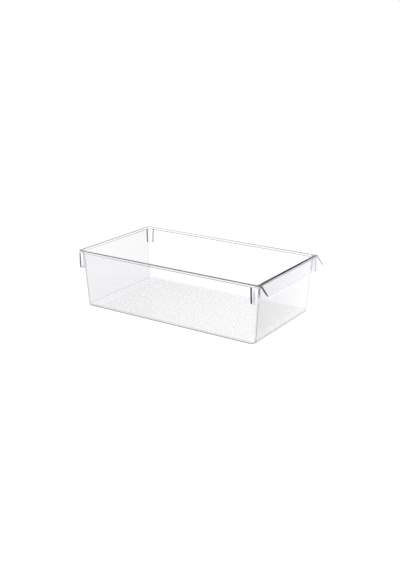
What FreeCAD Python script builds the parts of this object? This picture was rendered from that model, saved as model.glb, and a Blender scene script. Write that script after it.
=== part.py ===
"""Clear drawer bin for a fridge shelf, in millimetres.

The underside of the floor lies on Z = 0 with the tub centred on the origin and
+Z up. The long sides run along Y, and the pull handle is on the -Y end. The
moulding is built as the forms that meet in it: a drafted tub, the band round
its top, the flared lip, four corner lugs and the dotted field on the floor.
"""

import FreeCAD, Part
import os
import Sketcher

SIZES = [
    ("rim_length", 350, "outside length of the rim"),
    ("rim_width", 201, "outside width of the rim"),
    ("overall_height", 98, "underside of the floor to the top of the rim"),
    ("rim_height", 3.8, "height of the band round the top"),
    ("rim_overhang", 3.3, "how far the band stands out from the wall"),
    ("rim_corner_radius", 6, "rear corners of the band, seen from above"),
    ("rim_edge_radius", 0.9, "rounded upper edges of the band"),
    ("wall_thickness", 2.2, "wall, measured level"),
    ("wall_corner_radius", 9, "upright corners of the tub, outside"),
    ("end_draft", 3.9, "slope of the two end walls, degrees"),
    ("side_draft", 2.6, "slope of the two side walls, degrees"),
    ("floor_thickness", 2.5, "floor under the storage space"),
    ("base_edge_radius", 1.5, "edge between the floor and the walls, outside"),
    ("floor_edge_radius", 2, "edge between the floor and the walls, inside"),
    ("lug_drop", 26, "how far a lug hangs below the band"),
    ("lug_side_leg", 14, "leg of a lug along the long side"),
    ("lug_end_leg", 8.5, "leg of a lug along the short side"),
    ("lug_thickness", 2.3, "plate of a lug"),
    ("lug_draft", 2.6, "slope of the free edges of a lug, degrees"),
    ("lug_corner_radius", 6, "upright corner of a lug, outside"),
    ("lug_edge_radius", 1, "rounded lower edge of a lug, outside"),
    ("handle_end_inset", 4, "how far each end of the lip stops short of the rim's end"),
    ("handle_flat", 1, "level run of the lip before it bends"),
    ("handle_slope", 20.1, "length of the sloping part, underneath"),
    ("handle_angle", 50, "slope of the lip below level, degrees"),
    ("handle_thickness", 2.8, "plate of the lip"),
    ("handle_bend_radius", 1.6, "inside radius of the bend"),
    ("handle_corner_radius", 7, "lower corners of the lip, seen square on"),
    ("handle_edge_radius", 1.2, "rounded edges of the lip"),
    ("texture_height", 0.3, "height of the dotted field above the floor"),
    ("texture_front_margin", 15, "smooth floor in front of the dotted field"),
    ("texture_rear_margin", 22, "smooth floor behind the dotted field"),
    ("texture_side_margin", 2.6, "smooth floor beside the dotted field"),
    ("texture_corner_radius", 3, "corners of the dotted field"),
]

TOUCH = 0.001


def make_sheet(doc):
    """Spreadsheet with one named size in each row."""
    sheet = doc.addObject("Spreadsheet::Sheet", "sizes")
    for row, (name, value, meaning) in enumerate(SIZES, 1):
        sheet.set(f"A{row}", name)
        sheet.set(f"B{row}", str(value))
        sheet.set(f"C{row}", meaning)
        sheet.setAlias(f"B{row}", name)
    doc.recompute()
    return sheet


def wall_half(rim_size, draft, level):
    """Expression: half size of the tub's outside at a level, along one axis."""
    depth = f"(sizes.overall_height - ({level}))"
    return f"(sizes.{rim_size} / 2 - sizes.rim_overhang - {depth} * tan(sizes.{draft}))"


def wall_outline(level, inset="0"):
    """Corners of the drafted tub at a level, moved inwards by an inset."""
    half_width = f"({wall_half('rim_width', 'side_draft', level)} - ({inset}))"
    half_length = f"({wall_half('rim_length', 'end_draft', level)} - ({inset}))"
    return rectangle(half_width, half_length)


def rectangle(half_width, half_length):
    """Corners of a centred rectangle: front left, front right, rear right, rear left."""
    return [
        (f"-{half_width}", f"-{half_length}"),
        (half_width, f"-{half_length}"),
        (half_width, half_length),
        (f"-{half_width}", half_length),
    ]


def add_sketch(body, name, role, offset, corners):
    """Closed outline on an origin plane of the body, each corner tied to two expressions."""
    sketch = body.newObject("Sketcher::SketchObject", name)
    plane = next(feature for feature in body.Origin.OriginFeatures if feature.Role == role)
    sketch.AttachmentSupport = [(plane, "")]
    sketch.MapMode = "FlatFace"
    sketch.setExpression("AttachmentOffset.Base.z", offset)
    places = [(number(sketch, across), number(sketch, along)) for across, along in corners]
    count = len(corners)
    for corner in range(count):
        start = FreeCAD.Vector(*places[corner], 0)
        end = FreeCAD.Vector(*places[(corner + 1) % count], 0)
        sketch.addGeometry(Part.LineSegment(start, end), False)
    for corner in range(count):
        sketch.addConstraint(Sketcher.Constraint("Coincident", corner, 2, (corner + 1) % count, 1))
    for corner in range(count):
        for kind, place, expression in zip(("DistanceX", "DistanceY"), places[corner], corners[corner]):
            index = sketch.addConstraint(Sketcher.Constraint(kind, -1, 1, corner, 1, place))
            sketch.setExpression(f"Constraints[{index}]", expression)
    body.Document.recompute()
    return sketch


def number(item, expression):
    """Present value of an expression."""
    value = item.evalExpression(expression)
    return getattr(value, "Value", value)


def new_body(doc, name):
    """Empty body whose label is the name of the piece."""
    body = doc.addObject("PartDesign::Body", name)
    body.Label = name
    return body


def add_extrusion(body, kind, name, sketch, length, flipped=False):
    """Pad or Pocket of a sketch; a pad rises and a pocket sinks unless it is flipped."""
    extrusion = body.newObject(f"PartDesign::{kind}", name)
    extrusion.Profile = sketch
    extrusion.Reversed = flipped
    extrusion.setExpression("Length", length)
    body.Document.recompute()
    return extrusion


def add_draft(body, name, base, sketch, lines, angle, flipped):
    """Tilt the faces that start at lines of a sketch, with the sketch's plane held."""
    draft = body.newObject("PartDesign::Draft", name)
    draft.Base = (base, faces_from_lines(base, sketch, lines))
    draft.NeutralPlane = (base, faces_in_plane(base, sketch))
    draft.Reversed = flipped
    draft.setExpression("Angle", angle)
    body.Document.recompute()
    return draft


def add_fillet(body, name, base, edges, radius):
    """Fillet of the named edges of the last feature."""
    fillet = body.newObject("PartDesign::Fillet", name)
    fillet.Base = (base, edges)
    fillet.setExpression("Radius", radius)
    body.Document.recompute()
    return fillet


def edges_where(feature, wanted):
    """Names of the edges of a feature that pass a test."""
    return [f"Edge{index}" for index, edge in enumerate(feature.Shape.Edges, 1) if wanted(edge)]


def lies_in_plane(shape, sketch):
    """Whether every corner of an edge or face lies in the sketch's plane."""
    to_sketch = sketch.Placement.inverse()
    return all(abs(to_sketch.multVec(vertex.Point).z) < TOUCH for vertex in shape.Vertexes)


def edges_from_corners(feature, sketch, corners):
    """Edges that leave the sketch's plane at the given corners of its outline."""
    points = [sketch.Placement.multVec(sketch.Geometry[corner].StartPoint) for corner in corners]

    def leaves_corner(edge):
        meets = any(vertex.Point.isEqual(point, TOUCH) for vertex in edge.Vertexes for point in points)
        return meets and not lies_in_plane(edge, sketch)

    return edges_where(feature, leaves_corner)


def faces_from_lines(feature, sketch, lines):
    """Faces that leave the sketch's plane along the given lines of its outline."""
    segments = [sketch.Geometry[line] for line in lines]
    middles = [(segment.StartPoint + segment.EndPoint) / 2 for segment in segments]
    points = [Part.Vertex(sketch.Placement.multVec(middle)) for middle in middles]
    names = []
    for index, face in enumerate(feature.Shape.Faces, 1):
        meets = any(face.distToShape(point)[0] < TOUCH for point in points)
        if meets and not lies_in_plane(face, sketch):
            names.append(f"Face{index}")
    return names


def faces_in_plane(feature, sketch):
    """Face of the feature that lies in the sketch's plane."""
    faces = enumerate(feature.Shape.Faces, 1)
    return [f"Face{index}" for index, face in faces if lies_in_plane(face, sketch)][:1]


def edges_at_level(feature, level, keep=lambda edge: True):
    """Edges that lie level at a height."""

    def is_level(edge):
        return abs(edge.BoundBox.ZMin - level) < TOUCH and abs(edge.BoundBox.ZMax - level) < TOUCH

    return edges_where(feature, lambda edge: is_level(edge) and keep(edge))


def add_slopes(body, name, base, sketch, flipped):
    """Slope of the end faces and of the side faces that start at a rectangle's lines."""
    ends = add_draft(body, f"{name}_ends", base, sketch, (0, 2), "sizes.end_draft", flipped)
    return add_draft(body, f"{name}_sides", ends, sketch, (1, 3), "sizes.side_draft", flipped)


def make_sloped_block(doc, name, bottom, inset, edge_radius):
    """Solid block inside the walls' outer faces, from the top of the walls down to a level."""
    body = new_body(doc, name)
    top = "sizes.overall_height - sizes.rim_height"
    outline = add_sketch(body, f"{name}_outline", "XY_Plane", top, wall_outline(top, inset))
    block = add_extrusion(body, "Pad", f"{name}_block", outline, f"{top} - {bottom}", flipped=True)
    block = add_slopes(body, name, block, outline, flipped=True)
    corners = edges_from_corners(block, outline, range(4))
    corner_radius = f"sizes.wall_corner_radius - {inset}"
    block = add_fillet(body, f"{name}_corners", block, corners, corner_radius)
    lower_edges = edges_at_level(block, number(body, bottom))
    add_fillet(body, f"{name}_lower_edge", block, lower_edges, edge_radius)
    return body


def make_tub_shell(doc):
    """Floor and four sloping walls, hollowed by the storage space and open at the top."""
    body = make_sloped_block(doc, "tub_shell", "0", "0", "sizes.base_edge_radius")
    inset = "sizes.wall_thickness"
    space = make_sloped_block(doc, "storage_space", "sizes.floor_thickness", inset, "sizes.floor_edge_radius")
    hollow = body.newObject("PartDesign::Boolean", "hollow")
    hollow.Type = "Cut"
    hollow.setObjects([space])
    doc.recompute()
    return body


def make_rim_band(doc):
    """Solid band on top of the walls; its opening carries on the slope of the walls."""
    body = new_body(doc, "rim_band")
    bottom = "sizes.overall_height - sizes.rim_height"
    outline = rectangle("(sizes.rim_width / 2)", "(sizes.rim_length / 2)")
    band_outline = add_sketch(body, "band_outline", "XY_Plane", bottom, outline)
    band = add_extrusion(body, "Pad", "band", band_outline, "sizes.rim_height")
    rear_corners = edges_from_corners(band, band_outline, (2, 3))
    band = add_fillet(body, "rear_corners", band, rear_corners, "sizes.rim_corner_radius")

    inner_outline = wall_outline(bottom, "sizes.wall_thickness")
    opening_outline = add_sketch(body, "opening_outline", "XY_Plane", bottom, inner_outline)
    ring = add_extrusion(body, "Pocket", "opening", opening_outline, "sizes.rim_height", flipped=True)
    ring = add_slopes(body, "opening", ring, opening_outline, flipped=False)
    corners = edges_from_corners(ring, opening_outline, range(4))
    inner_radius = "sizes.wall_corner_radius - sizes.wall_thickness"
    ring = add_fillet(body, "opening_corners", ring, corners, inner_radius)
    front = -number(body, "sizes.rim_length / 2")
    top = number(body, "sizes.overall_height")
    edges = edges_at_level(ring, top, lambda edge: edge.BoundBox.YMax > front + TOUCH)
    add_fillet(body, "upper_edges", ring, edges, "sizes.rim_edge_radius")
    return body


def make_pull_handle(doc):
    """Lip across the front end: a short level run, a rounded bend and a slope down and outwards."""
    body = new_body(doc, "pull_handle")
    front = "-sizes.rim_length / 2"
    top = "sizes.overall_height"
    bend_shift = "sizes.handle_thickness * tan(sizes.handle_angle / 2)"
    tip_out = "(sizes.handle_flat + sizes.handle_slope * cos(sizes.handle_angle))"
    tip_down = "(sizes.handle_thickness + sizes.handle_slope * sin(sizes.handle_angle))"
    plate_out = "sizes.handle_thickness * sin(sizes.handle_angle)"
    plate_up = "sizes.handle_thickness * cos(sizes.handle_angle)"
    profile_corners = [
        (front, top),
        (front, f"{top} - sizes.handle_thickness"),
        (f"{front} - sizes.handle_flat", f"{top} - sizes.handle_thickness"),
        (f"{front} - {tip_out}", f"{top} - {tip_down}"),
        (f"{front} - {tip_out} - {plate_out}", f"{top} - {tip_down} + {plate_up}"),
        (f"{front} - sizes.handle_flat - {bend_shift}", top),
    ]
    half_width = "(sizes.rim_width / 2 - sizes.handle_end_inset)"
    profile = add_sketch(body, "lip_profile", "YZ_Plane", f"-{half_width}", profile_corners)
    lip = add_extrusion(body, "Pad", "lip", profile, f"2 * {half_width}")
    lip = add_fillet(body, "inner_bend", lip, edges_from_corners(lip, profile, [2]), "sizes.handle_bend_radius")
    outer_radius = "sizes.handle_bend_radius + sizes.handle_thickness"
    lip = add_fillet(body, "outer_bend", lip, edges_from_corners(lip, profile, [5]), outer_radius)

    tip_low = number(body, f"{top} - {tip_down}")
    tip_high = number(body, f"{top} - {tip_down} + {plate_up}")

    def is_tip_corner(edge):
        box = edge.BoundBox
        return abs(box.ZMin - tip_low) < TOUCH and abs(box.ZMax - tip_high) < TOUCH

    lip = add_fillet(body, "tip_corners", lip, edges_where(lip, is_tip_corner), "sizes.handle_corner_radius")
    reach = number(body, f"{half_width} - sizes.handle_corner_radius")

    def is_tip_edge(edge):
        box = edge.BoundBox
        level = min(abs(box.ZMin - tip_low), abs(box.ZMin - tip_high)) < TOUCH
        return level and abs(box.ZLength) < TOUCH and abs(box.XMax - reach) < TOUCH

    add_fillet(body, "lip_edges", lip, edges_where(lip, is_tip_edge), "sizes.handle_edge_radius")
    return body


def lug_outline(side, end):
    """Corners of an L at one corner of the rim."""
    outer_x = "sizes.rim_width / 2"
    outer_y = "sizes.rim_length / 2"
    inner_x = f"{outer_x} - sizes.lug_thickness"
    inner_y = f"{outer_y} - sizes.lug_thickness"
    leg_x = f"{outer_x} - sizes.lug_end_leg"
    leg_y = f"{outer_y} - sizes.lug_side_leg"
    corners = [
        (outer_x, outer_y),
        (leg_x, outer_y),
        (leg_x, inner_y),
        (inner_x, inner_y),
        (inner_x, leg_y),
        (outer_x, leg_y),
    ]
    return [(f"{side} * ({across})", f"{end} * ({along})") for across, along in corners]


def make_corner_lug(doc, name, side, end):
    """L-shaped skirt that hangs from the band at one corner, flush with its outside."""
    body = new_body(doc, name)
    top = "sizes.overall_height - sizes.rim_height"
    outline = add_sketch(body, f"{name}_outline", "XY_Plane", top, lug_outline(side, end))
    lug = add_extrusion(body, "Pad", f"{name}_plate", outline, "sizes.lug_drop", flipped=True)
    lug = add_draft(body, f"{name}_free_edges", lug, outline, (1, 4), "sizes.lug_draft", flipped=True)
    inner_corner = edges_from_corners(lug, outline, [3])
    inner_radius = "sizes.lug_corner_radius - sizes.lug_thickness"
    lug = add_fillet(body, f"{name}_inner_corner", lug, inner_corner, inner_radius)
    outer_corner = edges_from_corners(lug, outline, [0])
    lug = add_fillet(body, f"{name}_outer_corner", lug, outer_corner, "sizes.lug_corner_radius")
    foot = number(body, f"{top} - sizes.lug_drop")
    reach = number(body, "sizes.rim_width / 2 - sizes.lug_thickness / 2")
    lower_edge = edges_at_level(lug, foot, lambda edge: abs(edge.CenterOfMass.x) > reach and edge.Length > 4)
    add_fillet(body, f"{name}_lower_edge", lug, lower_edge, "sizes.lug_edge_radius")
    return body


def make_floor_texture_panel(doc):
    """Thin raised field on the floor that carries the dots."""
    body = new_body(doc, "floor_texture_panel")
    floor = "sizes.floor_thickness"
    half_width = f"({wall_half('rim_width', 'side_draft', floor)} - sizes.wall_thickness)"
    half_length = f"({wall_half('rim_length', 'end_draft', floor)} - sizes.wall_thickness)"
    side = f"({half_width} - sizes.texture_side_margin)"
    front = f"({half_length} - sizes.texture_front_margin)"
    rear = f"({half_length} - sizes.texture_rear_margin)"
    corners = [(f"-{side}", f"-{front}"), (side, f"-{front}"), (side, rear), (f"-{side}", rear)]
    outline = add_sketch(body, "field_outline", "XY_Plane", floor, corners)
    field = add_extrusion(body, "Pad", "field", outline, "sizes.texture_height")
    edges = edges_from_corners(field, outline, range(4))
    add_fillet(body, "field_corners", field, edges, "sizes.texture_corner_radius")
    return body


def check(doc, bodies):
    """Stop on any failed object or faulty shape."""
    for item in doc.Objects:
        if "Invalid" in item.State or "Error" in item.State:
            raise RuntimeError(f"{item.Name} failed: {item.State}")
    for body in bodies:
        if body.Shape.isNull() or not body.Shape.isValid() or len(body.Shape.Solids) != 1:
            raise RuntimeError(f"{body.Label} is not one valid solid")


def main():
    """Build every piece, check it and write its STEP file."""
    doc = FreeCAD.newDocument("fridge_drawer_organizer")
    make_sheet(doc)
    bodies = [
        make_tub_shell(doc),
        make_rim_band(doc),
        make_pull_handle(doc),
        make_corner_lug(doc, "corner_lug_front_left", -1, -1),
        make_corner_lug(doc, "corner_lug_front_right", 1, -1),
        make_corner_lug(doc, "corner_lug_rear_left", -1, 1),
        make_corner_lug(doc, "corner_lug_rear_right", 1, 1),
        make_floor_texture_panel(doc),
    ]
    doc.recompute()
    check(doc, bodies)
    os.makedirs("parts", exist_ok=True)
    for body in bodies:
        body.Shape.exportStep(f"parts/{body.Label}.step")
        print(f"{body.Label}: volume {body.Shape.Volume:.1f} mm3")


main()
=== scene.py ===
from functools import partial
import math
from typing import NamedTuple

import bpy
from mathutils import Matrix, Vector
from mathutils.geometry import tessellate_polygon


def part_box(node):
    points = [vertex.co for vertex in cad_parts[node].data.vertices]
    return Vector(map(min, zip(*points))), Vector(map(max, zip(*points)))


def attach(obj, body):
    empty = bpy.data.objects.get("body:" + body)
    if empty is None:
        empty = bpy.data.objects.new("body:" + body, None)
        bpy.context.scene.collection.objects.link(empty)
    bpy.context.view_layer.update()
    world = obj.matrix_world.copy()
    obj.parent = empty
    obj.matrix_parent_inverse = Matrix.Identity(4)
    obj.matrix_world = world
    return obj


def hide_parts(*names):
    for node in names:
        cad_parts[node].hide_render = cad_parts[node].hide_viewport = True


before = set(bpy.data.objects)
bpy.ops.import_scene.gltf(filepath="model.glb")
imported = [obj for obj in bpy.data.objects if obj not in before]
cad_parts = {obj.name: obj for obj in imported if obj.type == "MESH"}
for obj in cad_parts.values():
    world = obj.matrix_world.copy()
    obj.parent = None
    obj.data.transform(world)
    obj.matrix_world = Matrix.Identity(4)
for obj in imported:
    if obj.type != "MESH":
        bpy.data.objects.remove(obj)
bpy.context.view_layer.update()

bl_info = {
    "name": "Fridge Drawer Organizer",
    "version": (1, 0, 0),
    "blender": (4, 5, 0),
    "location": "View3D > Sidebar > Organizer",
    "description": "Clear moulded bin with a pull lip, corner skirts and a dotted floor",
    "category": "Object",
}

BODY = "root"

# How finely the forms are made: steps in a quarter turn or a bend, and what counts as one place.
CORNER_STEPS = 8
EDGE_STEPS = 4
TIP_STEPS = 5
BEND_STEPS = 6
EDGE_TURNS = [math.pi / 2 * step / EDGE_STEPS for step in range(EDGE_STEPS + 1)]
DOT_SIDES = 8
DOT_BANDS = (1.0, 0.7, 0.36)
SHARP_ANGLE = math.radians(27)
WELD_GAP = 1e-6
LEAST_AREA = 1e-14
LEVEL_GAP = 0.0002

# Extra rows that keep rounded edges crisp and hold the painted edge shade in narrow bands.
FOOT_GUARD = 1.25  # in base edges above the base
SEAT_INSET = 0.001
RIM_MARKS = (0.975, 0.75, 0.4, 0.0)  # shares of the lip's half width
TOP_GUARDS = (0.0038, 0.0041)
END_GUARDS = (0.7, 0.45)  # shares of the skirt's short side
SIDE_GUARDS = (0.0028, 0.0032, 0.0042, 0.0064)
LUG_DROPS = (0.018, 0.013, 0.009, 0.005, 0.0)
LEAST_CORNER = 0.0001
CORNER_LOSS = 0.3  # how fast a skirt's free corners sharpen as its foot rounds
SLOPE_SHARES = (0.33, 0.66, 1.0)
FULL_EDGE_STATION = 4  # the lip's edge rounding is full from here, the middle of its bend


class SkirtShade(NamedTuple):
    """Painted edge shade on the parts of a corner skirt."""

    end_edge: float = 0.0  # outer strip at the free edge on the short side
    side_edge: float = 0.0  # outer strip at the free edge on the long side
    patch: float = 0.0  # soft patch beside that strip
    bend: float = 0.0  # first part of the outer corner's turn, and the foot next to it
    end_face: float = 0.0  # whole free edge on the short side
    stroke: float = 0.0  # short upright stroke late in the corner's turn


# Painted edge shade: darkness painted into the clear plastic's colour in place of the dark lines that
# light leaving through its thick edges makes, from 0 where the plastic is clear to 1 where it is
# deepest, and how far it reaches.
SHADE_LAYER = "edge_shade"
LUGS = {  # side and end of the bin, and the skirt's shades
    "corner_lug_front_left": (-1, -1, SkirtShade(end_edge=0.6, side_edge=1.0, patch=0.48, stroke=0.62)),
    "corner_lug_front_right": (1, -1, SkirtShade(end_edge=0.45, side_edge=0.6, patch=0.2)),
    "corner_lug_rear_left": (-1, 1, SkirtShade(side_edge=0.26, bend=0.85)),
    "corner_lug_rear_right": (1, 1, SkirtShade(side_edge=0.72, end_face=0.9)),
}
FREE_EDGE = 0.001
SIDE_TURN = 5  # degrees of a corner that still count as the long side
PATCH_END, PATCH_END_SHARE = 0.012, 0.6
PATCH_RISE, PATCH_SINK, PATCH_LOSS = (0.0, 0.009), (0.014, 0.026), 0.4
END_STRIP, END_STRIP_SHARES = (0.0012, 0.0016, 0.004), (0.2, 0.5)
BEND_TURNS, BEND_FOOT, FOOT_RISE = (30, 50), (0.003, 0.006), (0.0012, 0.0006)
WIDE_BEND, WIDE_BEND_FALLS = 20, (0.007, 0.02)
STROKE_TURNS, STROKE_END = (60, 80), (0.011, 0.015)
CORNER_SHADES = {  # degrees round the corner of its line, and the line's depth
    (-1, -1): (79, 0.50),
    (-1, 1): (40, 0.85),
    (1, -1): (50, 0.85),
    (1, 1): (79, 0.14),
}
CORNER_SPREAD = 16
FOOT_SHADES = {"left": 0.85, "right": 0.12, "front": 0.62, "rear": 0.12}
FOOT_FADE = 1.2
END_WALL_SHADES = {"front": 0.022, "rear": 0.05}
REAR_LEFT_SHADE = 0.04
RIM_SHADES = {"right": 0.64, "left_rear": 0.68, "left_front": 0.80, "rear": 0.90}
RIM_FADE = (0.0009, TOP_GUARDS[0])
RIM_RISE = (1.2, 0.3)  # in rim edges below the top
FRONT_SHADES = (  # place across the bin and shade along the top of the rim's front
    (-0.1005, 0.95), (-0.09, 0.98), (-0.05, 1.0), (0.03, 1.0), (0.08, 0.72), (0.1005, 0.62),
)
FRONT_INNER_SHADES = ((-0.1, 0.45), (-0.07, 1.0))
LIP_SHADES = {"left": 0.9, "right": 0.6, "tip": 0.08}
LIP_END_WIDTH = 0.02  # share of the half width
LIP_TOP_SHARE = 0.9  # share of the thickness that counts as its root
LIP_ROOT_REACH, LIP_ROOT_FADE = ((-0.1, 0.0019), (-0.05, 0.0007), (0.1, 0.0005)), 0.0004
LIP_TIP_FADE = (0.001, 0.003)

# Painted glow of each clear plastic, given to a caught path in place of the light it would still carry,
# and how many surfaces catch one.
PAINTED_GLOW = {
    "polished_clear_plastic": 0.8,
    "wall_clear_plastic": 0.75,
    "lip_clear_plastic": 0.75,
    "dotted_clear_plastic": 0.8,
}
PAINTED_GLOW_BLUE = 1.03
CAUGHT_DEPTH = 5.5
RELIEF_HEIGHT = 0.0002

# Paper floor, softbox, camera, and the sky's colours by the height a ray points to.
WHITE = (1.0, 1.0, 1.0, 1.0)
PAPER_POINTS = 64
PAPER_RADIUS = 6.0
PAPER_LEVEL = -0.0003
PAPER_WHITE = 0.85
LAMP_PLACE, LAMP_SIZE = (-0.3, -0.3, 1.9), 1.8
CAMERA_LENS, CAMERA_SENSOR = 53.22, 36.0
CAMERA_PLACE = (-1.13666, -0.74680, 0.48957)
CAMERA_AIM = (0.79580, 0.51815, -0.31341)
CAMERA_ROLL = math.radians(0.266)
SKY = (
    (0.0, (1.0, 1.0, 1.0)),
    (0.17, (1.0, 1.0, 1.0)),
    (0.235, (0.72, 0.71, 0.74)),
    (0.262, (0.07, 0.06, 0.11)),
    (0.298, (0.07, 0.06, 0.11)),
    (0.315, (0.55, 0.54, 0.54)),
    (0.335, (0.90, 0.89, 0.87)),
    (0.40, (0.78, 0.77, 0.76)),
    (0.47, (0.50, 0.48, 0.53)),
    (0.77, (0.20, 0.18, 0.24)),
    (1.0, (0.07, 0.06, 0.10)),
)


def box_size(node, axis, end):
    """One coordinate of a CAD node's box: axis 0 to 2, end 0 for lowest and 1 for highest."""
    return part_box(node)[end][axis]


def length_setting(label, note, default):
    """A size in metres for the sidebar."""
    return bpy.props.FloatProperty(
        name=label, description=note, default=default, min=0.0, precision=5, unit="LENGTH"
    )


def angle_setting(label, note, degrees):
    """An angle for the sidebar."""
    return bpy.props.FloatProperty(
        name=label, description=note, default=math.radians(degrees), subtype="ANGLE"
    )


def colour_setting(label, note, default):
    """A colour for the sidebar."""
    return bpy.props.FloatVectorProperty(
        name=label, description=note, default=default, size=3, subtype="COLOR", min=0.0, max=1.0
    )


class OrganizerSizes(bpy.types.PropertyGroup):
    """Sizes of the bin's moulded form."""

    top_level: length_setting("Top level", "Height of the rim's top", box_size("rim_band", 2, 1))
    wall_top: length_setting("Wall top", "Level where walls and rim meet", box_size("rim_band", 2, 0))
    rim_half_width: length_setting("Half width", "Half the rim's width", box_size("rim_band", 0, 1))
    rim_half_length: length_setting("Half length", "Half the rim's length", box_size("rim_band", 1, 1))
    rim_overhang: length_setting("Rim overhang", "How far the rim stands out past the walls", 0.0033)
    rim_corner: length_setting("Rim corner", "Plan radius of the rim's rear corners", 0.006)
    rim_edge: length_setting("Rim edge", "Rounding of the rim's top edges", 0.0009)
    wall_thickness: length_setting("Wall thickness", "Thickness of the walls", 0.0022)
    wall_corner: length_setting("Wall corner", "Plan radius of the walls' outer corners", 0.009)
    end_draft: angle_setting("End draft", "Slope of the two short walls", 3.9)
    side_draft: angle_setting("Side draft", "Slope of the two long walls", 2.6)
    floor_thickness: length_setting("Floor thickness", "Thickness of the floor", 0.0025)
    base_edge: length_setting("Base edge", "Outer rounding between the walls and the floor", 0.0015)
    floor_edge: length_setting("Floor edge", "Inner rounding between the walls and the floor", 0.002)


class LugSizes(bpy.types.PropertyGroup):
    """Sizes of the skirts that hang at the rim's corners."""

    drop: length_setting("Drop", "Height of a skirt", 0.026)
    side_leg: length_setting("Side leg", "Length along the long side at the top", 0.014)
    end_leg: length_setting("End leg", "Length along the short side at the top", 0.0085)
    thickness: length_setting("Thickness", "Thickness of a skirt", 0.0023)
    corner: length_setting("Corner", "Plan radius of the outer corner", 0.006)
    edge: length_setting("Edge", "Rounding of the lower edge", 0.0009)
    free_corner: length_setting("Free edge corner", "Rounding of the free upright edges", 0.0004)
    draft: angle_setting("Draft", "Slope of the free edges", 2.6)


class HandleSizes(bpy.types.PropertyGroup):
    """Sizes of the pull lip."""

    half_width: length_setting("Half width", "Half the width of the lip", box_size("pull_handle", 0, 1))
    flat: length_setting("Flat", "Level run before the bend", 0.001)
    slope: length_setting("Slope", "Length of the underside from the bend's corner to the tip", 0.0201)
    thickness: length_setting("Thickness", "Thickness of the lip", 0.0028)
    bend: length_setting("Bend", "Inner radius of the bend", 0.0016)
    tip_corner: length_setting("Tip corner", "Plan radius of the two outer corners", 0.007)
    edge: length_setting("Edge", "Rounding of the lip's free edge", 0.0012)
    angle: angle_setting("Angle", "How far the lip slopes down", 50)


class DotSizes(bpy.types.PropertyGroup):
    """Sizes of the raised dots on the floor."""

    across: bpy.props.IntProperty(name="Across", description="Dots in a full row", default=30, min=2)
    along: bpy.props.IntProperty(name="Rows", description="Rows along the floor", default=57, min=2)
    radius: length_setting("Dot radius", "Radius of a dot at its foot", 0.0018)
    height: length_setting("Dot height", "Height of a dot", 0.0003)


class FinishSettings(bpy.types.PropertyGroup):
    """Colour and surface of the plastic, and the colour of its painted edge shade."""

    tint: colour_setting("Tint", "Colour of the clear plastic", (0.985, 0.985, 0.995))
    floor_tint: colour_setting("Floor tint", "Colour of the dotted floor", (0.995, 0.99, 0.97))
    # The deep tint is the colour of the painted edge shade at the thick edges, not a colour of the
    # plastic.
    painted_shade_colour: colour_setting("Deep tint", "Colour of the thick edges", (0.0004, 0.0002, 0.003))
    ior: bpy.props.FloatProperty(
        name="Refraction", description="Index of refraction", default=1.5, min=1.0, max=2.0
    )
    gloss_roughness: bpy.props.FloatProperty(
        name="Roughness", description="Roughness of polished faces", default=0.012, min=0.0, max=1.0
    )


class StudioSettings(bpy.types.PropertyGroup):
    """Tone of the studio floor and power of the lamp."""

    floor_tone: colour_setting("Floor", "Colour of the studio floor", (0.95, 0.95, 0.95))
    lamp_power: bpy.props.FloatProperty(
        name="Lamp power", description="Power of the softbox", default=42.0, min=0.0, unit="POWER"
    )


def add_object(name, data):
    """Object that is linked to the scene."""
    item = bpy.data.objects.new(name, data)
    bpy.context.scene.collection.objects.link(item)
    return item


class Skin:
    """Points and faces of one piece while it is being made."""

    def __init__(self):
        self.points = []
        self.faces = []

    def add_ring(self, outline, level):
        """Add the outline's points at one level and give their places in the list."""
        return self.add_line((x, y, level) for x, y in outline)

    def add_line(self, places):
        """Add points that have their own levels and give their places in the list."""
        start = len(self.points)
        self.points.extend(tuple(place) for place in places)
        return list(range(start, len(self.points)))

    def bridge(self, first, second, closed=True):
        """Quads between two rows of as many points."""
        count = len(first)
        for index in range(count if closed else count - 1):
            after = (index + 1) % count
            self.faces.append((first[index], first[after], second[after], second[index]))

    def bridge_all(self, rows, closed=True):
        """Quads between each row and the next."""
        for first, second in zip(rows, rows[1:]):
            self.bridge(first, second, closed)

    def fill(self, outline, holes, level, upward):
        """Level face inside an outline, with holes left open."""
        loops = [[Vector((x, y, 0.0)) for x, y in loop] for loop in (outline, *holes)]
        flat = [point for loop in loops for point in loop]
        start = len(self.points)
        self.points.extend((point.x, point.y, level) for point in flat)
        for corner in tessellate_polygon(loops):
            a, b, c = (flat[index] for index in corner)
            turn = (b.x - a.x) * (c.y - a.y) - (b.y - a.y) * (c.x - a.x)
            if abs(turn) < LEAST_AREA:
                continue
            order = corner if (turn > 0) == upward else corner[::-1]
            self.faces.append(tuple(start + index for index in order))

    def make_object(self, name, material, slot_name, node, shade=None):
        """Mesh object that stands for a CAD node and rides on the bin's body, with its painted edge
        shade.
        """
        mesh = bpy.data.meshes.new(name)
        mesh.from_pydata(self.points, [], self.faces)
        mesh.validate()
        piece = add_object(name, mesh)
        weld = piece.modifiers.new("join_rows", "WELD")
        weld.merge_threshold = WELD_GAP
        graph = bpy.context.evaluated_depsgraph_get()
        joined = bpy.data.meshes.new_from_object(piece.evaluated_get(graph))
        piece.modifiers.clear()
        piece.data = joined
        joined.name = name
        bpy.data.meshes.remove(mesh)
        joined.shade_smooth()
        joined.set_sharp_from_angle(angle=SHARP_ANGLE)
        flatten = piece.modifiers.new("even_shading", "WEIGHTED_NORMAL")
        flatten.keep_sharp = True
        flatten.weight = 100
        joined.materials.append(material)
        if shade:
            layer = joined.attributes.new(SHADE_LAYER, "FLOAT", "POINT")
            layer.data.foreach_set("value", [shade(*vertex.co) for vertex in joined.vertices])
        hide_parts(node)
        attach(piece, BODY)


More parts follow.
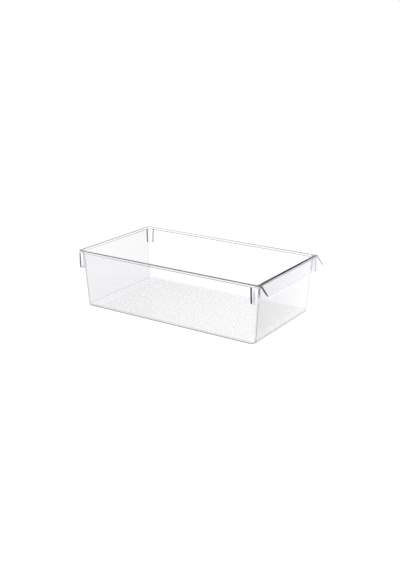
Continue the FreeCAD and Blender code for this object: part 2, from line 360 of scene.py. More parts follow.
def ease(low, high, value):
    """0 below low, 1 above high and a smooth rise between them."""
    share = min(max((value - low) / (high - low), 0.0), 1.0)
    return share * share * (3.0 - 2.0 * share)


def between(value, *steps):
    """Value read off a line through (place, height) steps."""
    for (start, low), (end, high) in zip(steps, steps[1:]):
        if value <= end:
            return low + (high - low) * max(value - start, 0.0) / (end - start)
    return steps[-1][1]


def arc(centre_x, centre_y, radius, start, steps=CORNER_STEPS):
    """Quarter arc, counter-clockwise from a start angle in degrees."""
    turns = (math.radians(start + 90 * step / steps) for step in range(steps + 1))
    return [(centre_x + radius * math.cos(turn), centre_y + radius * math.sin(turn)) for turn in turns]


def spokes(count):
    """Evenly spread directions all the way round."""
    turns = (math.tau * index / count for index in range(count))
    return [(math.cos(turn), math.sin(turn)) for turn in turns]


def rounded_rectangle(half_x, half_y, radius):
    """Counter-clockwise outline from the rear end of the right side."""
    x, y = half_x - radius, half_y - radius
    rear = arc(x, y, radius, 0) + arc(-x, y, radius, 90)
    return rear + arc(-x, -y, radius, 180) + arc(x, -y, radius, 270)


def wall_halves(sizes, level, inset=0.0):
    """Half width and half length of the walls at a level, less an inset."""
    fall = sizes.top_level - level
    half_x = sizes.rim_half_width - sizes.rim_overhang - fall * math.tan(sizes.side_draft)
    half_y = sizes.rim_half_length - sizes.rim_overhang - fall * math.tan(sizes.end_draft)
    return half_x - inset, half_y - inset


def wall_outline(sizes, level, inset=0.0):
    """Outline of the walls at a level."""
    return rounded_rectangle(*wall_halves(sizes, level, inset), sizes.wall_corner - inset)


def foot_rings(skin, sizes, floor_level, inset, radius):
    """Rings of the rounding between the floor and the walls, from the floor up."""
    centre = floor_level + radius
    wall_x, wall_y = wall_halves(sizes, centre, inset)
    rings = []
    for step in range(EDGE_STEPS + 3):
        share = step / (EDGE_STEPS + 2)
        turn_x = share * (math.pi / 2 - sizes.side_draft)
        turn_y = share * (math.pi / 2 - sizes.end_draft)
        half_x = wall_x - radius / math.cos(sizes.side_draft) + radius * math.sin(turn_x)
        half_y = wall_y - radius / math.cos(sizes.end_draft) + radius * math.sin(turn_y)
        level = centre - radius * (math.cos(turn_x) + math.cos(turn_y)) / 2
        straight_x, straight_y = wall_halves(sizes, level, inset)
        sunk = (straight_x - half_x + straight_y - half_y) / 2
        corner = sizes.wall_corner - inset - sunk
        rings.append(skin.add_ring(rounded_rectangle(half_x, half_y, corner), level))
    return rings


def dot_field():
    """Front left and rear right corner of the dotted field on the floor."""
    low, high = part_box("floor_texture_panel")
    return (low.x, low.y), (high.x, high.y)


def build_tub(sizes):
    """Outer and inner faces of the walls and floor, open under the rim band and at the dotted field."""
    skin = Skin()
    outer = foot_rings(skin, sizes, 0.0, 0.0, sizes.base_edge)
    guard = FOOT_GUARD * sizes.base_edge
    outer.append(skin.add_ring(wall_outline(sizes, guard), guard))
    outer.append(skin.add_ring(wall_outline(sizes, sizes.wall_top), sizes.wall_top))
    skin.bridge_all(outer)
    seat = wall_outline(sizes, 0.0, sizes.base_edge + SEAT_INSET)
    outer.insert(0, skin.add_ring(seat, 0.0))
    skin.bridge(outer[0], outer[1])
    skin.faces.append(tuple(reversed(outer[0])))

    inset = sizes.wall_thickness
    inner = foot_rings(skin, sizes, sizes.floor_thickness, inset, sizes.floor_edge)
    inner.append(skin.add_ring(wall_outline(sizes, sizes.wall_top, inset), sizes.wall_top))
    skin.bridge_all(inner[::-1])
    (left, front), (right, rear) = dot_field()
    field = [(left, front), (right, front), (right, rear), (left, rear)]
    floor_outline = [skin.points[index][:2] for index in inner[0]]
    skin.fill(floor_outline, [field], sizes.floor_thickness, upward=True)
    return skin


def tub_shade(sizes, x, y, z):
    """Painted edge shade of the walls: lines down the corners and along the foot, faint on the end
    walls.
    """
    foot_x, foot_y = wall_halves(sizes, 0.0, sizes.base_edge + SEAT_INSET / 2)
    on_floor = abs(z - sizes.floor_thickness) < LEVEL_GAP
    under_floor = z < LEVEL_GAP and abs(x) < foot_x and abs(y) < foot_y
    if on_floor or under_floor:
        return 0.0
    half_x, half_y = wall_halves(sizes, z)
    out_x, out_y = abs(x) - half_x + sizes.wall_corner, abs(y) - half_y + sizes.wall_corner
    turn = corner_turn(out_x, out_y)
    end = "rear" if y > 0 else "front"
    end_wall = END_WALL_SHADES[end] * turn / 90
    if x < 0 < y:
        end_wall = max(end_wall, REAR_LEFT_SHADE)
    reach = math.hypot(max(out_x, 0.0), max(out_y, 0.0))
    if z > sizes.floor_thickness and reach < sizes.wall_corner - sizes.wall_thickness / 2:
        return end_wall
    peak, depth = CORNER_SHADES[(math.copysign(1, x), math.copysign(1, y))]
    corner = depth * max(0.0, 1.0 - abs(turn - peak) / CORNER_SPREAD)
    along_side, along_end = FOOT_SHADES["left" if x < 0 else "right"], FOOT_SHADES[end]
    foot = along_side + (along_end - along_side) * turn / 90
    foot *= 1.0 - ease(sizes.base_edge, FOOT_FADE * sizes.base_edge, z)
    return max(corner, foot) + end_wall


def corner_turn(out_x, out_y):
    """Degrees round a corner where a point stands: 0 on the long side, 90 on the short one."""
    return math.degrees(math.atan2(max(out_y, 0.0), max(out_x, 0.0)))


def lug_ring(lug, sizes, side, end, level, inset=0.0):
    """Outline of a corner skirt at a level, drawn in from all its faces by an inset."""
    rim_x, rim_y = sizes.rim_half_width, sizes.rim_half_length
    narrowing = (sizes.wall_top - level) * math.tan(lug.draft)
    middle_x, middle_y = rim_x - lug.corner, rim_y - lug.corner
    free_x = rim_x - lug.end_leg + narrowing + inset
    free_y = rim_y - lug.side_leg + narrowing + inset
    far_x, far_y = rim_x - inset, rim_y - inset
    near_x, near_y = rim_x - lug.thickness + inset, rim_y - lug.thickness + inset
    soft = max(lug.free_corner - inset * CORNER_LOSS, LEAST_CORNER)
    outline = arc(middle_x, middle_y, lug.corner - inset, 0)
    outline += [(free_x + share * (middle_x - free_x), far_y) for share in END_GUARDS]
    outline += arc(free_x + soft, far_y - soft, soft, 90, 2)
    outline += arc(free_x + soft, near_y + soft, soft, 180, 2)
    outline += arc(middle_x, middle_y, lug.corner - lug.thickness + inset, 0)[::-1]
    outline += arc(near_x + soft, free_y + soft, soft, 180, 2)
    outline += arc(far_x - soft, free_y + soft, soft, 270, 2)
    outline += [(far_x, free_y + guard) for guard in SIDE_GUARDS]
    outline = [(side * x, end * y) for x, y in outline]
    return outline if side * end > 0 else outline[::-1]


def build_lug(sizes, lug, side, end):
    """Skirt with a rounded foot, open at the top where it joins the rim band."""
    skin = Skin()
    foot = sizes.wall_top - lug.drop
    rings = []
    for turn in EDGE_TURNS:
        inset = lug.edge * (1 - math.sin(turn))
        level = foot + lug.edge * (1 - math.cos(turn))
        rings.append(skin.add_ring(lug_ring(lug, sizes, side, end, level, inset), level))
    for drop in LUG_DROPS:
        level = sizes.wall_top - drop
        rings.append(skin.add_ring(lug_ring(lug, sizes, side, end, level), level))
    skin.bridge_all(rings)
    foot_outline = [skin.points[index][:2] for index in rings[0]]
    skin.fill(foot_outline, [], foot, upward=False)
    return skin


def lug_shade(sizes, lug, shades, x, y, z):
    """Painted edge shade of a skirt: strips at both free edges, a softer patch and the corner's turn.
    """
    fall = sizes.wall_top - z
    narrowing = fall * math.tan(lug.draft)
    across = abs(x) - (sizes.rim_half_width - lug.end_leg + narrowing)
    along = abs(y) - (sizes.rim_half_length - lug.side_leg + narrowing)
    out_x, out_y = abs(x) - sizes.rim_half_width, abs(y) - sizes.rim_half_length
    turn = corner_turn(out_x + lug.corner, out_y + lug.corner)
    outer_side, outer_end = out_x > -lug.thickness / 2, out_y > -lug.thickness / 2
    if across < FREE_EDGE:
        return max(shades.end_edge if outer_end else 0.0, shades.end_face)
    if outer_side and turn < SIDE_TURN:
        patch = shades.patch * ease(*PATCH_RISE, fall) * (1.0 - PATCH_LOSS * ease(*PATCH_SINK, fall))
        depths = shades.side_edge, 0.0, 0.0, patch, PATCH_END_SHARE * patch
        strip = between(along, *zip((*SIDE_GUARDS, PATCH_END), depths))
        foot = ease(*(lug.drop - height for height in FOOT_RISE), fall)
        foot *= 1.0 - ease(*BEND_FOOT, -out_y - lug.corner)
        return max(strip, shades.bend * foot)
    if max(out_x, out_y) > -lug.corner / 2 and turn > SIDE_TURN:
        low, high = WIDE_BEND_FALLS
        first, last = (mark + (WIDE_BEND if low < fall < high else 0) for mark in BEND_TURNS)
        bend = shades.bend * (1.0 - ease(first, last, turn))
        low, high = STROKE_TURNS
        stroke = shades.stroke * (1.0 - ease(*STROKE_END, fall)) if low < turn < high else 0.0
        return max(bend, stroke)
    if outer_end:
        depths = shades.end_edge, *(share * shades.patch for share in END_STRIP_SHARES)
        return between(across, *zip(END_STRIP, depths))
    return 0.0


def rim_plan(sizes, inset=0.0, front_inset=0.0):
    """Rim's outline without its front line: from the front right round the rear to the front left."""
    x, y = sizes.rim_half_width, sizes.rim_half_length
    radius = sizes.rim_corner
    side, front = x - inset, front_inset - y
    points = [(side, front)] + arc(x - radius, y - radius, radius - inset, 0)
    return points + arc(radius - x, y - radius, radius - inset, 90) + [(-side, front)]


def front_marks(handle):
    """Places across the front, from left to right, where the rim and the lip share points."""
    right = [share * handle.half_width for share in (1.0, *RIM_MARKS)]
    return [-x for x in right] + right[-2::-1]


def rim_shade(sizes, x, y, z):
    """Painted edge shade of the rim: deep along the top of its front, fainter on the other outer edges.
    """
    in_x, in_y = sizes.rim_half_width - abs(x), sizes.rim_half_length - abs(y)
    raised = ease(*(sizes.top_level - share * sizes.rim_edge for share in RIM_RISE), z)
    side = "right" if x > 0 else "left_rear" if y > 0 else "left_front"
    shade = RIM_SHADES[side] * (1.0 - ease(*RIM_FADE, in_x))
    if y > 0:
        shade = max(shade, RIM_SHADES["rear"] * (1.0 - ease(*RIM_FADE, in_y)))
    elif z > sizes.top_level - LEVEL_GAP:
        inner = 1.0 - (1.0 - between(x, *FRONT_INNER_SHADES)) * ease(0.0, TOP_GUARDS[0], in_y)
        shade = max(shade, between(x, *FRONT_SHADES) * inner * (1.0 - ease(*TOP_GUARDS, in_y)))
    return shade * raised


def rim_underside(sizes, lug):
    """Outline of the rim's underside round the tops of the skirts, and the slivers outside them."""
    outline, slivers = [], []
    outer = CORNER_STEPS + 1
    for side, end in ((1, 1), (-1, 1), (-1, -1), (1, -1)):
        ring = lug_ring(lug, sizes, side, end, sizes.wall_top)
        if side * end < 0:
            ring = ring[::-1]
        inward = ring[outer + len(END_GUARDS):-len(SIDE_GUARDS)]
        outline += inward[::-1] if side * end > 0 else inward
        if end < 0:
            tip = side * sizes.rim_half_width, end * sizes.rim_half_length
            slivers.append(ring[:outer] + [tip])
    return outline, slivers


def build_rim(sizes, lug, handle):
    """Band round the top with rounded edges, open where the walls, skirts and pull lip join it."""
    skin = Skin()
    top, bottom, edge = sizes.top_level, sizes.wall_top, sizes.rim_edge
    rows = [skin.add_ring(rim_plan(sizes), bottom)]
    for turn in EDGE_TURNS:
        inset = edge * (1 - math.cos(turn))
        rows.append(skin.add_ring(rim_plan(sizes, inset), top - edge + edge * math.sin(turn)))
    skin.bridge_all(rows, closed=False)

    lip_root, lip_end = top - handle.thickness, handle.half_width
    front = -sizes.rim_half_length
    strip = [
        (-lip_end, front, bottom), (lip_end, front, bottom),
        (lip_end, front, lip_root), (-lip_end, front, lip_root),
    ]
    skin.faces.append(tuple(skin.add_line(strip)))
    for row_end, side in ((0, 1), (-1, -1)):
        border = [skin.points[row[row_end]] for row in rows]
        border += [(side * lip_end, front, level) for level in (top, lip_root, bottom)]
        skin.faces.append(tuple(skin.add_line(border[::side])))

    inset = sizes.wall_thickness
    inner = []
    for turn in EDGE_TURNS:
        level = top - edge + edge * math.cos(turn)
        half_x, half_y = wall_halves(sizes, level, inset)
        spread = edge * (1 - math.sin(turn))
        corner = sizes.wall_corner - inset + spread
        inner.append(skin.add_ring(rounded_rectangle(half_x + spread, half_y + spread, corner), level))
    inner.append(skin.add_ring(wall_outline(sizes, bottom, inset), bottom))
    skin.bridge_all(inner)
    opening = [skin.points[index][:2] for index in inner[0]]
    marks = front_marks(handle)
    outlines = [[skin.points[index][:2] for index in rows[-1]] + [(x, front) for x in marks]]
    for guard in TOP_GUARDS:
        outlines.append(rim_plan(sizes, guard, guard) + [(x, front + guard) for x in marks])
    skin.bridge_all([skin.add_ring(outline, top) for outline in outlines])
    skin.fill(outlines[-1], [opening], top, upward=True)

    outline, slivers = rim_underside(sizes, lug)
    skin.fill(outline, [wall_outline(sizes, bottom)], bottom, upward=False)
    for sliver in slivers:
        skin.fill(sliver, [], bottom, upward=False)
    return skin


def lip_bend(handle):
    """Radius of the bend in the lip's middle line, and the lengths where it starts and ends."""
    radius = handle.bend + handle.thickness / 2
    start = handle.flat - handle.bend * math.tan(handle.angle / 2)
    return radius, start, start + radius * handle.angle


def lip_path(handle, along):
    """Place outward and upward of the lip's middle line, and its slope, at a length along it."""
    radius, start, end = lip_bend(handle)
    if along <= start:
        return along, 0.0, 0.0
    if along <= end:
        turn = (along - start) / radius
        return start + radius * math.sin(turn), radius * (math.cos(turn) - 1), turn
    rest = along - end
    out = start + radius * math.sin(handle.angle) + rest * math.cos(handle.angle)
    down = radius * (math.cos(handle.angle) - 1) - rest * math.sin(handle.angle)
    return out, down, handle.angle


def lip_stations(handle):
    """Lengths along the lip's middle line where its rows stand, and its whole length."""
    _, start, end = lip_bend(handle)
    total = start + end - handle.flat + handle.slope
    last = total - handle.tip_corner
    stations = [0.0, start]
    stations += [start + (end - start) * step / BEND_STEPS for step in range(1, BEND_STEPS + 1)]
    stations += [end + (last - end) * share for share in SLOPE_SHARES]
    return stations, total


def build_handle(sizes, handle):
    """Lip across the front: level, bent and sloping, with rounded edges, open at its root."""
    skin = Skin()
    stations, total = lip_stations(handle)
    half_thickness = handle.thickness / 2
    middle = sizes.top_level - half_thickness
    half_width = handle.half_width

    def place(x, along, height):
        """Place of a point across, along and above the lip's middle line."""
        out, down, turn = lip_path(handle, along)
        y = -sizes.rim_half_length - out - height * math.sin(turn)
        return (x, y, middle + down + height * math.cos(turn))

    def across(reach):
        """Places across the lip from right to left, for a row that reaches this far."""
        return [-x * reach / half_width for x in front_marks(handle)]

    def lip_row(side, turn):
        """Points round the lip's plan at one stage of its edge rounding, from right to left."""

        def rounded(radius):
            """Inset from the edge and height over the middle at this stage of a rounding."""
            height = half_thickness - radius + radius * math.sin(turn)
            return radius * (1 - math.cos(turn)), side * height

        right = []
        for along in stations:
            inset, height = rounded(handle.edge * min(along / stations[FULL_EDGE_STATION], 1.0))
            right.append((half_width - inset, along, height))
        inset, height = rounded(handle.edge)
        centre_x, centre_along = half_width - handle.tip_corner, total - handle.tip_corner
        radius = handle.tip_corner - inset
        for step in range(1, TIP_STEPS + 1):
            corner = math.pi / 2 * step / TIP_STEPS
            x, along = centre_x + radius * math.cos(corner), centre_along + radius * math.sin(corner)
            right.append((x, along, height))
        left = [(-x, along, height) for x, along, height in reversed(right)]
        tip = [(x, *right[-1][1:]) for x in across(right[-1][0])[1:-1]]
        return skin.add_line([place(*point) for point in right + tip + left])

    rows = [lip_row(-1, turn) for turn in reversed(EDGE_TURNS)]
    rows += [lip_row(1, turn) for turn in EDGE_TURNS]
    skin.bridge_all([row[::-1] for row in rows][::-1], closed=False)
    for row, upward in ((rows[0], False), (rows[-1], True)):
        lines = []
        for index in range(len(stations) + TIP_STEPS):
            reach, *rest = skin.points[row[index]]
            lines.append(skin.add_line([(x, *rest) for x in across(reach)]))
        skin.bridge_all(lines if upward else lines[::-1], closed=False)
    return skin


def lip_shade(sizes, handle, x, y, z):
    """Painted edge shade of the lip: deep at the root of its top and at its ends, faint at its free
    edge.
    """
    out = -sizes.rim_half_length - y
    end = LIP_SHADES["left" if x < 0 else "right"]
    inward = handle.half_width - abs(x)
    shade = end * (1.0 - ease(handle.edge, LIP_END_WIDTH * handle.half_width, inward))
    if z > sizes.top_level - LIP_TOP_SHARE * handle.thickness:
        reach = between(x, *LIP_ROOT_REACH)
        root = 1.0 - ease(reach - LIP_ROOT_FADE, reach + LIP_ROOT_FADE, out)
        shade = max(shade, between(x, *FRONT_SHADES) * root)
    low = sizes.top_level - handle.thickness - handle.slope * math.sin(handle.angle)
    return max(shade, LIP_SHADES["tip"] * (1.0 - ease(*LIP_TIP_FADE, z - low)))


def build_dots(sizes, dots):
    """Floor of the dotted field: low domes in staggered rows."""
    skin = Skin()
    (left, front), (right, rear) = dot_field()
    width = (right - left) / dots.across
    depth = (rear - front) / dots.along
    level = sizes.floor_thickness
    cap = (dots.radius ** 2 + dots.height ** 2) / (2 * dots.height)
    reach = math.asin(dots.radius / cap)
    bands = [
        (cap * math.sin(reach * share), cap * (math.cos(reach * share) - math.cos(reach)))
        for share in DOT_BANDS
    ]
    for row in range(dots.along):
        staggered = row % 2
        low, high = front + row * depth, front + (row + 1) * depth
        centre_y = (low + high) / 2
        if staggered:
            for from_x, to_x in ((left, left + width / 2), (right - width / 2, right)):
                corners = [
                    (from_x, low), (to_x, low), (to_x, centre_y),
                    (to_x, high), (from_x, high), (from_x, centre_y),
                ]
                skin.faces.append(tuple(skin.add_ring(corners, level)))
        for index in range(dots.across - staggered):
            start = left + (index + staggered / 2) * width
            centre_x, end = start + width / 2, start + width
            border = [
                (end, centre_y), (end, high), (centre_x, high), (start, high),
                (start, centre_y), (start, low), (centre_x, low), (end, low),
            ]
            rows = [skin.add_ring(border, level)]
            for radius, height in bands:
                circle = [(centre_x + radius * x, centre_y + radius * y) for x, y in spokes(DOT_SIDES)]
                rows.append(skin.add_ring(circle, level + height))
            skin.bridge_all(rows)
            apex = skin.add_ring([(centre_x, centre_y)], level + dots.height)[0]
            last = rows[-1]
            for side in range(DOT_SIDES):
                skin.faces.append((last[side], last[(side + 1) % DOT_SIDES], apex))
    return skin


def new_group(name, inputs, outputs):
    """Shader node group and its two ends: inputs by name and default, outputs by name and kind."""
    group = bpy.data.node_groups.new(name, "ShaderNodeTree")
    for label, default in inputs.items():
        kind = "NodeSocketColor" if isinstance(default, tuple) else "NodeSocketFloat"
        group.interface.new_socket(name=label, in_out="INPUT", socket_type=kind).default_value = default
    for label, kind in outputs.items():
        group.interface.new_socket(name=label, in_out="OUTPUT", socket_type=kind)
    return group, group.nodes.new("NodeGroupInput"), group.nodes.new("NodeGroupOutput")


def empty_tree(holder):
    """Nodes and links of a material or a world, cleared."""
    holder.use_nodes = True
    holder.node_tree.nodes.clear()
    return holder.node_tree.nodes, holder.node_tree.links


def feed(links, socket, source):
    """Give a socket a link from another socket or a plain value."""
    if isinstance(source, bpy.types.NodeSocket):
        links.new(source, socket)
    else:
        socket.default_value = source


def calculate(nodes, links, operation, *sources, clamp=False):
    """Result of a Math node that works on sockets or numbers."""
    node = nodes.new("ShaderNodeMath")
    node.operation = operation
    node.use_clamp = clamp
    for socket, source in zip(node.inputs, sources):
        feed(links, socket, source)
    return node.outputs[0]


def noise(nodes, links, place, scale, detail):
    """Value of a Noise node at a place."""
    node = nodes.new("ShaderNodeTexNoise")
    for name, source in (("Vector", place), ("Scale", scale), ("Detail", detail)):
        feed(links, node.inputs[name], source)
    return node.outputs["Fac"]


def mix_shaders(nodes, links, share, first, second):
    """The first shader where the share is 0 and the second where it is 1."""
    mix = nodes.new("ShaderNodeMixShader")
    links.new(share, mix.inputs["Fac"])
    links.new(first, mix.inputs[1])
    links.new(second, mix.inputs[2])
    return mix.outputs["Shader"]


def moulded_surface_group():
    """Shared group: faint flow haze, fine ripple and hair scratches of a moulded face."""
    name = "Moulded Surface"
    if name in bpy.data.node_groups:
        return bpy.data.node_groups[name]
    inputs = {
        "Base Roughness": 0.01, "Haze": 0.01, "Flow Scale": 9.0, "Ripple Scale": 60.0, "Scratches": 0.2,
    }
    outputs = {"Roughness": "NodeSocketFloat", "Height": "NodeSocketFloat"}
    group, entry, leave = new_group(name, inputs, outputs)
    nodes, links = group.nodes, group.links
    place = nodes.new("ShaderNodeTexCoord").outputs["Object"]
    flow = noise(nodes, links, place, entry.outputs["Flow Scale"], 3.0)
    haze = entry.outputs["Haze"], entry.outputs["Base Roughness"]
    links.new(calculate(nodes, links, "MULTIPLY_ADD", flow, *haze), leave.inputs["Roughness"])

    ripple = noise(nodes, links, place, entry.outputs["Ripple Scale"], 1.0)
    stretch = nodes.new("ShaderNodeMapping")
    stretch.inputs["Scale"].default_value = (9.0, 9.0, 160.0)
    stretch.inputs["Rotation"].default_value = (0.35, 0.2, 0.6)
    links.new(place, stretch.inputs["Vector"])
    thin = nodes.new("ShaderNodeMapRange")
    thin.inputs["From Min"].default_value = 0.70
    thin.inputs["From Max"].default_value = 0.74
    links.new(noise(nodes, links, stretch.outputs["Vector"], 6.0, 2.0), thin.inputs["Value"])
    depth = calculate(nodes, links, "MULTIPLY", thin.outputs["Result"], entry.outputs["Scratches"])
    height = calculate(nodes, links, "SUBTRACT", ripple, depth)
    links.new(height, leave.inputs["Height"])
    return group


def edge_shade_group():
    """Shared group: painted shade, a colour that deepens where a point's edge shade is set, in place of
    edges that carry light away.
    """
    name = "Edge Shade"
    if name in bpy.data.node_groups:
        return bpy.data.node_groups[name]
    inputs = {"Clear": WHITE, "Deep": (0.0, 0.0, 0.0, 1.0)}
    group, entry, leave = new_group(name, inputs, {"Color": "NodeSocketColor"})
    nodes, links = group.nodes, group.links
    shade = nodes.new("ShaderNodeAttribute")
    shade.attribute_name = SHADE_LAYER
    light = calculate(nodes, links, "SUBTRACT", 1.0, shade.outputs["Fac"], clamp=True)
    twice = calculate(nodes, links, "MULTIPLY", light, light)
    mix = nodes.new("ShaderNodeMix")
    mix.data_type = "RGBA"
    links.new(twice, mix.inputs["Factor"])
    links.new(entry.outputs["Deep"], mix.inputs["A"])
    links.new(entry.outputs["Clear"], mix.inputs["B"])
    links.new(mix.outputs["Result"], leave.inputs["Color"])
    return group


def clear_plastic(name, finish, roughness, haze, bump, tint=None):
    """Clear moulded plastic that lets the lamp through, with a painted glow where paths are caught in
    it.

    Without a tint of its own, its colour comes from the painted edge shade.
    """
    if name in bpy.data.materials:
        return bpy.data.materials[name]
    material = bpy.data.materials.new(name)
    nodes, links = empty_tree(material)
    output = nodes.new("ShaderNodeOutputMaterial")
    plastic = nodes.new("ShaderNodeBsdfPrincipled")
    if tint:
        plastic.inputs["Base Color"].default_value = (*tint, 1.0)
    else:
        # Painted edge shade: the base colour darkens towards the deep tint at the thick edges.
        edges = nodes.new("ShaderNodeGroup")
        edges.node_tree = edge_shade_group()
        edges.inputs["Clear"].default_value = (*finish.tint, 1.0)
        edges.inputs["Deep"].default_value = (*finish.painted_shade_colour, 1.0)
        links.new(edges.outputs["Color"], plastic.inputs["Base Color"])
    plastic.inputs["Transmission Weight"].default_value = 1.0
    plastic.inputs["IOR"].default_value = finish.ior
    surface = nodes.new("ShaderNodeGroup")
    surface.node_tree = moulded_surface_group()
    surface.inputs["Base Roughness"].default_value = roughness
    surface.inputs["Haze"].default_value = haze
    links.new(surface.outputs["Roughness"], plastic.inputs["Roughness"])
    relief = nodes.new("ShaderNodeBump")
    relief.inputs["Strength"].default_value = bump
    relief.inputs["Distance"].default_value = RELIEF_HEIGHT
    links.new(surface.outputs["Height"], relief.inputs["Height"])
    links.new(relief.outputs["Normal"], plastic.inputs["Normal"])
    path = nodes.new("ShaderNodeLightPath")
    # Painted glow: a path caught after many surfaces gets an emission in place of the light it would
    # still carry.
    caught = calculate(nodes, links, "GREATER_THAN", path.outputs["Ray Depth"], CAUGHT_DEPTH)
    glow = nodes.new("ShaderNodeEmission")
    glow_level = PAINTED_GLOW[name]
    glow.inputs["Color"].default_value = (glow_level, glow_level, glow_level * PAINTED_GLOW_BLUE, 1.0)
    lit = mix_shaders(nodes, links, caught, plastic.outputs["BSDF"], glow.outputs["Emission"])
    open_way = nodes.new("ShaderNodeBsdfTransparent")
    shadow_ray = path.outputs["Is Shadow Ray"]
    shown = mix_shaders(nodes, links, shadow_ray, lit, open_way.outputs["BSDF"])
    links.new(shown, output.inputs["Surface"])
    return material


def polished_plastic(name):
    """Clear plastic of a polished piece, coloured by its painted edge shade."""
    finish = bpy.context.scene.organizer_finish
    return clear_plastic(name, finish, finish.gloss_roughness, haze=0.01, bump=0.02)


def dotted_plastic(name):
    """Clear plastic of the dotted floor: a little duller, with a tint of its own."""
    finish = bpy.context.scene.organizer_finish
    return clear_plastic(name, finish, roughness=0.04, haze=0.03, bump=0.03, tint=finish.floor_tint)


class ORGANIZER_OT_tub(bpy.types.Operator):
    """Make the walls and the floor"""

    bl_idname = "organizer.make_tub"
    bl_label = "Tub Shell"

    def execute(self, context):
        sizes = context.scene.organizer_sizes
        skin = build_tub(sizes)
        shade = partial(tub_shade, sizes)
        plastic = polished_plastic("wall_clear_plastic")
        skin.make_object("tub_shell_walls_and_floor", plastic, "clear_plastic", "tub_shell", shade)
        return {"FINISHED"}


class ORGANIZER_OT_rim(bpy.types.Operator):
    """Make the band round the top"""

    bl_idname = "organizer.make_rim"
    bl_label = "Rim Band"

    def execute(self, context):
        scene = context.scene
        skin = build_rim(scene.organizer_sizes, scene.organizer_lugs, scene.organizer_handle)
        shade = partial(rim_shade, scene.organizer_sizes)
        plastic = polished_plastic("polished_clear_plastic")
        skin.make_object("rim_band_rounded", plastic, "clear_plastic", "rim_band", shade)
        return {"FINISHED"}


class ORGANIZER_OT_handle(bpy.types.Operator):
    """Make the pull lip across the front"""

    bl_idname = "organizer.make_handle"
    bl_label = "Pull Handle"

    def execute(self, context):
        sizes, handle = context.scene.organizer_sizes, context.scene.organizer_handle
        skin = build_handle(sizes, handle)
        shade = partial(lip_shade, sizes, handle)
        plastic = polished_plastic("lip_clear_plastic")
        skin.make_object("pull_handle_lip", plastic, "clear_plastic", "pull_handle", shade)
        return {"FINISHED"}


class ORGANIZER_OT_lugs(bpy.types.Operator):
    """Make the four corner skirts"""

    bl_idname = "organizer.make_lugs"
    bl_label = "Corner Lugs"

    def execute(self, context):
        sizes, lug = context.scene.organizer_sizes, context.scene.organizer_lugs
        plastic = polished_plastic("polished_clear_plastic")
        for node, (side, end, shades) in LUGS.items():
            skin = build_lug(sizes, lug, side, end)
            shade = partial(lug_shade, sizes, lug, shades)
            skin.make_object(f"{node}_skirt", plastic, "clear_plastic", node, shade)
        return {"FINISHED"}


class ORGANIZER_OT_dots(bpy.types.Operator):
    """Make the dotted field on the floor"""

    bl_idname = "organizer.make_dots"
    bl_label = "Floor Dots"

    def execute(self, context):
        skin = build_dots(context.scene.organizer_sizes, context.scene.organizer_dots)
        plastic = dotted_plastic("dotted_clear_plastic")
        skin.make_object("floor_dots", plastic, "textured_plastic", "floor_texture_panel")
        return {"FINISHED"}


def seen_directly(nodes, links):
    """1 for rays from the camera and for rays mirrored or passed on by gloss and glass."""
    path = nodes.new("ShaderNodeLightPath")
    total = path.outputs["Is Camera Ray"]
    for name in ("Is Glossy Ray", "Is Transmission Ray"):
        total = calculate(nodes, links, "ADD", total, path.outputs[name], clamp=True)
    return total


def make_floor(tone):
    """Wide pale floor just under the bin."""
    border = [(PAPER_RADIUS * x, PAPER_RADIUS * y, PAPER_LEVEL) for x, y in spokes(PAPER_POINTS)]
    mesh = bpy.data.meshes.new("studio_floor")
    mesh.from_pydata(border, [], [tuple(range(PAPER_POINTS))])
    floor = add_object("studio_floor", mesh)
    material = bpy.data.materials.new("studio_floor_paper")
    nodes, links = empty_tree(material)
    output = nodes.new("ShaderNodeOutputMaterial")
    paper = nodes.new("ShaderNodeBsdfDiffuse")
    paper.inputs["Color"].default_value = (*tone, 1.0)
    white = nodes.new("ShaderNodeEmission")
    white.inputs["Color"].default_value = WHITE
    share = calculate(nodes, links, "MULTIPLY", seen_directly(nodes, links), PAPER_WHITE)
    mixed = mix_shaders(nodes, links, share, paper.outputs["BSDF"], white.outputs["Emission"])
    links.new(mixed, output.inputs["Surface"])
    mesh.materials.append(material)


def make_world():
    """Even white light; seen directly, white low down, a dark ring and deepening grey overhead."""
    world = bpy.data.worlds.new("studio_world")
    bpy.context.scene.world = world
    nodes, links = empty_tree(world)
    output = nodes.new("ShaderNodeOutputWorld")
    around = nodes.new("ShaderNodeTexCoord")
    parts = nodes.new("ShaderNodeSeparateXYZ")
    links.new(around.outputs["Generated"], parts.inputs[0])
    ramp = nodes.new("ShaderNodeValToRGB")
    steps = ramp.color_ramp.elements
    steps.remove(steps[1])
    steps[0].position, steps[0].color = SKY[0][0], (*SKY[0][1], 1.0)
    for height, colour in SKY[1:]:
        steps.new(height).color = (*colour, 1.0)
    links.new(parts.outputs["Z"], ramp.inputs["Fac"])
    seen = nodes.new("ShaderNodeBackground")
    links.new(ramp.outputs["Color"], seen.inputs["Color"])
    fill = nodes.new("ShaderNodeBackground")
    fill.inputs["Color"].default_value = WHITE
    direct = seen_directly(nodes, links)
    mixed = mix_shaders(nodes, links, direct, fill.outputs["Background"], seen.outputs["Background"])
    links.new(mixed, output.inputs["Surface"])


def make_lamp(power):
    """Square softbox overhead that faces the bin."""
    lamp = bpy.data.lights.new("overhead_softbox", "AREA")
    lamp.shape = "SQUARE"
    lamp.size = LAMP_SIZE
    lamp.energy = power
    holder = add_object("overhead_softbox", lamp)
    holder.location = LAMP_PLACE
    holder.rotation_euler = (-Vector(LAMP_PLACE)).to_track_quat("-Z", "Y").to_euler()


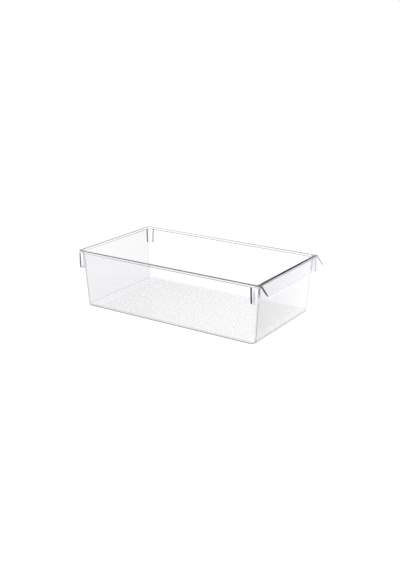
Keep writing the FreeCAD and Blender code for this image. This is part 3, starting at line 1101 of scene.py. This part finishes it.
def make_camera():
    """Camera that looks down on the bin from its front left."""
    data = bpy.data.cameras.new("studio_camera")
    data.lens = CAMERA_LENS
    data.sensor_width = CAMERA_SENSOR
    camera = add_object("studio_camera", data)
    aim = Vector(CAMERA_AIM).to_track_quat("-Z", "Y").to_matrix().to_4x4()
    camera.matrix_world = Matrix.Translation(CAMERA_PLACE) @ aim @ Matrix.Rotation(CAMERA_ROLL, 4, "Z")
    bpy.context.scene.camera = camera


class ORGANIZER_OT_studio(bpy.types.Operator):
    """Make the floor, the surroundings, the lamp and the camera"""

    bl_idname = "organizer.make_studio"
    bl_label = "Studio"

    def execute(self, context):
        studio = context.scene.organizer_studio
        context.scene.view_settings.view_transform = "Standard"
        make_floor(studio.floor_tone)
        make_world()
        make_lamp(studio.lamp_power)
        make_camera()
        return {"FINISHED"}


class ORGANIZER_PT_sidebar(bpy.types.Panel):
    """Lists the sizes and the making steps"""

    bl_idname = "ORGANIZER_PT_sidebar"
    bl_label = "Drawer Organizer"
    bl_space_type = "VIEW_3D"
    bl_region_type = "UI"
    bl_category = "Organizer"

    def draw(self, context):
        layout = self.layout
        for name, group in SETTINGS.items():
            box = layout.box()
            box.label(text=group.__doc__)
            settings = getattr(context.scene, name)
            for setting in group.__annotations__:
                box.prop(settings, setting)
        for step in STEPS:
            layout.operator(step.bl_idname)


SETTINGS = {
    "organizer_sizes": OrganizerSizes,
    "organizer_lugs": LugSizes,
    "organizer_handle": HandleSizes,
    "organizer_dots": DotSizes,
    "organizer_finish": FinishSettings,
    "organizer_studio": StudioSettings,
}
STEPS = (
    ORGANIZER_OT_tub,
    ORGANIZER_OT_rim,
    ORGANIZER_OT_handle,
    ORGANIZER_OT_lugs,
    ORGANIZER_OT_dots,
    ORGANIZER_OT_studio,
)
CLASSES = (*SETTINGS.values(), *STEPS, ORGANIZER_PT_sidebar)


def register():
    """Register the classes and give the scene its settings."""
    for item in CLASSES:
        bpy.utils.register_class(item)
    for name, group in SETTINGS.items():
        setattr(bpy.types.Scene, name, bpy.props.PointerProperty(type=group))


def unregister():
    """Take the settings and the classes away again."""
    for name in SETTINGS:
        delattr(bpy.types.Scene, name)
    for item in reversed(CLASSES):
        bpy.utils.unregister_class(item)


def main():
    """Make every piece and the studio."""
    register()
    bpy.ops.organizer.make_tub()
    bpy.ops.organizer.make_rim()
    bpy.ops.organizer.make_handle()
    bpy.ops.organizer.make_lugs()
    bpy.ops.organizer.make_dots()
    bpy.ops.organizer.make_studio()


if __name__ == "__main__":
    main()
